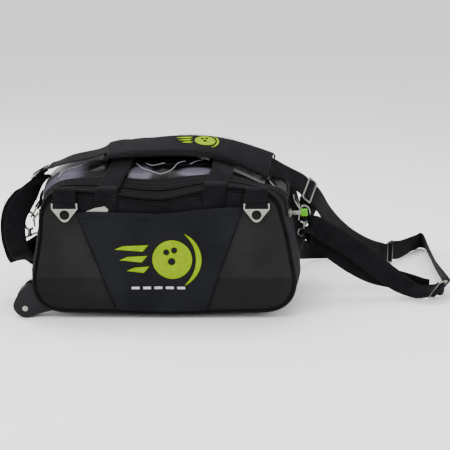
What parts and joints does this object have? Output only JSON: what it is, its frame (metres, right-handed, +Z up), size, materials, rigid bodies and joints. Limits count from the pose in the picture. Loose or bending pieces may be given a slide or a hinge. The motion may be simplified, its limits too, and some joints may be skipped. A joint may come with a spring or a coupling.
{
  "type": "rolling bowling bag",
  "caption": "Soft rolling carry bag for bowling balls with a domed clear lid, front pocket, carry handles, corner wheels and a long webbing pull strap with a shoulder pad.",
  "frame": {"origin": "on the floor under the middle of the bag, at the centre of the base skid's flat underside", "axes": "+X along the bag's length with the wheels at the -X end, the front pocket faces -Y, +Z up"},
  "size_m": [0.8216, 0.455, 0.3038],
  "materials": {
    "nylon": "woven, matt",
    "charcoal": "woven, matt",
    "webbing": "ribbed webbing",
    "nickel": "satin nickel plate",
    "plastic": "satin",
    "tyre": "satin",
    "foam": "fabric over foam",
    "vinyl": "clear, glossy",
    "green_tag": "satin, on a metal puller"
  },
  "bodies": {
    "bag": {"bottom_panel": "nylon", "end_panel_left": "nylon", "end_panel_right": "nylon", "front_panel": "nylon", "rear_panel": "nylon", "front_piping": "nylon", "rear_piping": "nylon", "front_band": "nylon", "rear_band": "nylon", "pocket_center": "nylon", "pocket_hem": "nylon", "pocket_side_left": "charcoal", "pocket_side_right": "charcoal", "ring_tab_left": "webbing", "ring_tab_right": "webbing", "rear_handle_leg_left": "webbing", "rear_handle_leg_right": "webbing", "strap_left_outer": "webbing", "strap_left_inner": "webbing", "strap_upper": "webbing", "strap_lower": "webbing", "strap_corner": "webbing", "strap_front": "webbing", "strap_back": "webbing", "end_tab_left": "webbing", "end_tab_right": "webbing", "key_clip": "nickel", "axle_front": "nickel", "axle_rear": "nickel", "slide_floor": "nickel", "slide_corner": "nickel", "snap_hook_left": "nickel", "snap_hook_right": "nickel", "base_skid": "plastic", "base_board": "plastic", "wheel_housing_front": "plastic", "wheel_housing_rear": "plastic", "ball_cup_left": "foam", "ball_cup_right": "foam"},
    "lid": {"slide_left": "nickel", "slide_right": "nickel", "lid_trim": "nylon", "lid_window": "vinyl", "shoulder_pad": "nylon", "strap_left_over": "webbing", "strap_right_over": "webbing"},
    "wheel_front": {"wheel_front": "tyre"},
    "wheel_rear": {"wheel_rear": "tyre"},
    "front_handle": {"front_handle_loop": "webbing"},
    "rear_handle": {"rear_handle_loop": "webbing"},
    "ring_left": {"ring_left": "nickel"},
    "ring_right": {"ring_right": "nickel"},
    "end_ring_left": {"end_ring_left": "nickel"},
    "end_ring_right": {"end_ring_right": "nickel"},
    "hook_gate_left": {"hook_gate_left": "nickel"},
    "hook_gate_right": {"hook_gate_right": "nickel"},
    "zip_slider_left": {"zip_slider_left": "nickel"},
    "zip_slider_right": {"zip_slider_right": "nickel"},
    "zip_pull_left": {"zip_pull_left": "nickel"},
    "zip_pull_right": {"zip_pull_right": "green_tag"}
  },
  "joints": [
    {"name": "lid_hinge", "type": "hinge", "parent": "bag", "child": "lid", "pos_m": [0, 0.109, 0.2365], "axis": [-1, 0, 0], "range_deg": [0, 75]},
    {"name": "front_handle_swing", "type": "hinge", "parent": "bag", "child": "front_handle", "pos_m": [0, -0.1245, 0.206], "axis": [1, 0, 0], "range_deg": [0, 120], "deforming": ["front_handle_loop"]},
    {"name": "rear_handle_swing", "type": "hinge", "parent": "bag", "child": "rear_handle", "pos_m": [0, 0.1265, 0.206], "axis": [1, 0, 0], "range_deg": [0, 170]},
    {"name": "wheel_front_spin", "type": "hinge", "parent": "bag", "child": "wheel_front", "pos_m": [-0.242, -0.103, 0.018], "axis": [0, 1, 0], "continuous": true},
    {"name": "wheel_rear_spin", "type": "hinge", "parent": "bag", "child": "wheel_rear", "pos_m": [-0.242, 0.103, 0.018], "axis": [0, 1, 0], "continuous": true},
    {"name": "ring_left_swing", "type": "hinge", "parent": "bag", "child": "ring_left", "pos_m": [-0.166, -0.133, 0.207], "axis": [-1, 0, 0], "range_deg": [0, 70]},
    {"name": "ring_right_swing", "type": "hinge", "parent": "bag", "child": "ring_right", "pos_m": [0.157, -0.133, 0.207], "axis": [-1, 0, 0], "range_deg": [0, 70]},
    {"name": "end_ring_left_swing", "type": "hinge", "parent": "bag", "child": "end_ring_left", "pos_m": [-0.2295, -0.003, 0.175], "axis": [0, 1, 0], "range_deg": [-2, 2]},
    {"name": "end_ring_right_swing", "type": "hinge", "parent": "bag", "child": "end_ring_right", "pos_m": [0.227, -0.003, 0.187], "axis": [0, 1, 0], "range_deg": [-2, 2]},
    {"name": "hook_gate_left_hinge", "type": "hinge", "parent": "bag", "child": "hook_gate_left", "pos_m": [-0.2391, -0.003, 0.1336], "axis": [0, -1, 0], "range_deg": [0, 25], "stiffness_Nm_per_rad": 0.02},
    {"name": "hook_gate_right_hinge", "type": "hinge", "parent": "bag", "child": "hook_gate_right", "pos_m": [0.2366, -0.003, 0.1456], "axis": [0, 1, 0], "range_deg": [0, 25], "stiffness_Nm_per_rad": 0.02},
    {"name": "zip_slider_left_travel", "type": "slide", "parent": "bag", "child": "zip_slider_left", "axis": [-0.1481, 0.9577, 0.2468], "range_m": [0, 0.03]},
    {"name": "zip_pull_left_swing", "type": "hinge", "parent": "zip_slider_left", "child": "zip_pull_left", "pos_m": [-0.21885, -0.07934, 0.17899], "axis": [-0.1481, 0.9577, 0.2468], "range_deg": [-8, 110]},
    {"name": "zip_slider_right_travel", "type": "slide", "parent": "bag", "child": "zip_slider_right", "axis": [0.1481, 0.9577, 0.2468], "range_m": [0, 0.03]},
    {"name": "zip_pull_right_swing", "type": "hinge", "parent": "zip_slider_right", "child": "zip_pull_right", "pos_m": [0.21885, -0.07934, 0.17899], "axis": [-0.1159, -0.231, 0.966], "range_deg": [-50, 50]}
  ],
  "couplings": [
    {"joint": "front_handle_swing", "follows": "lid_hinge", "ratio": 1.6}
  ]
}
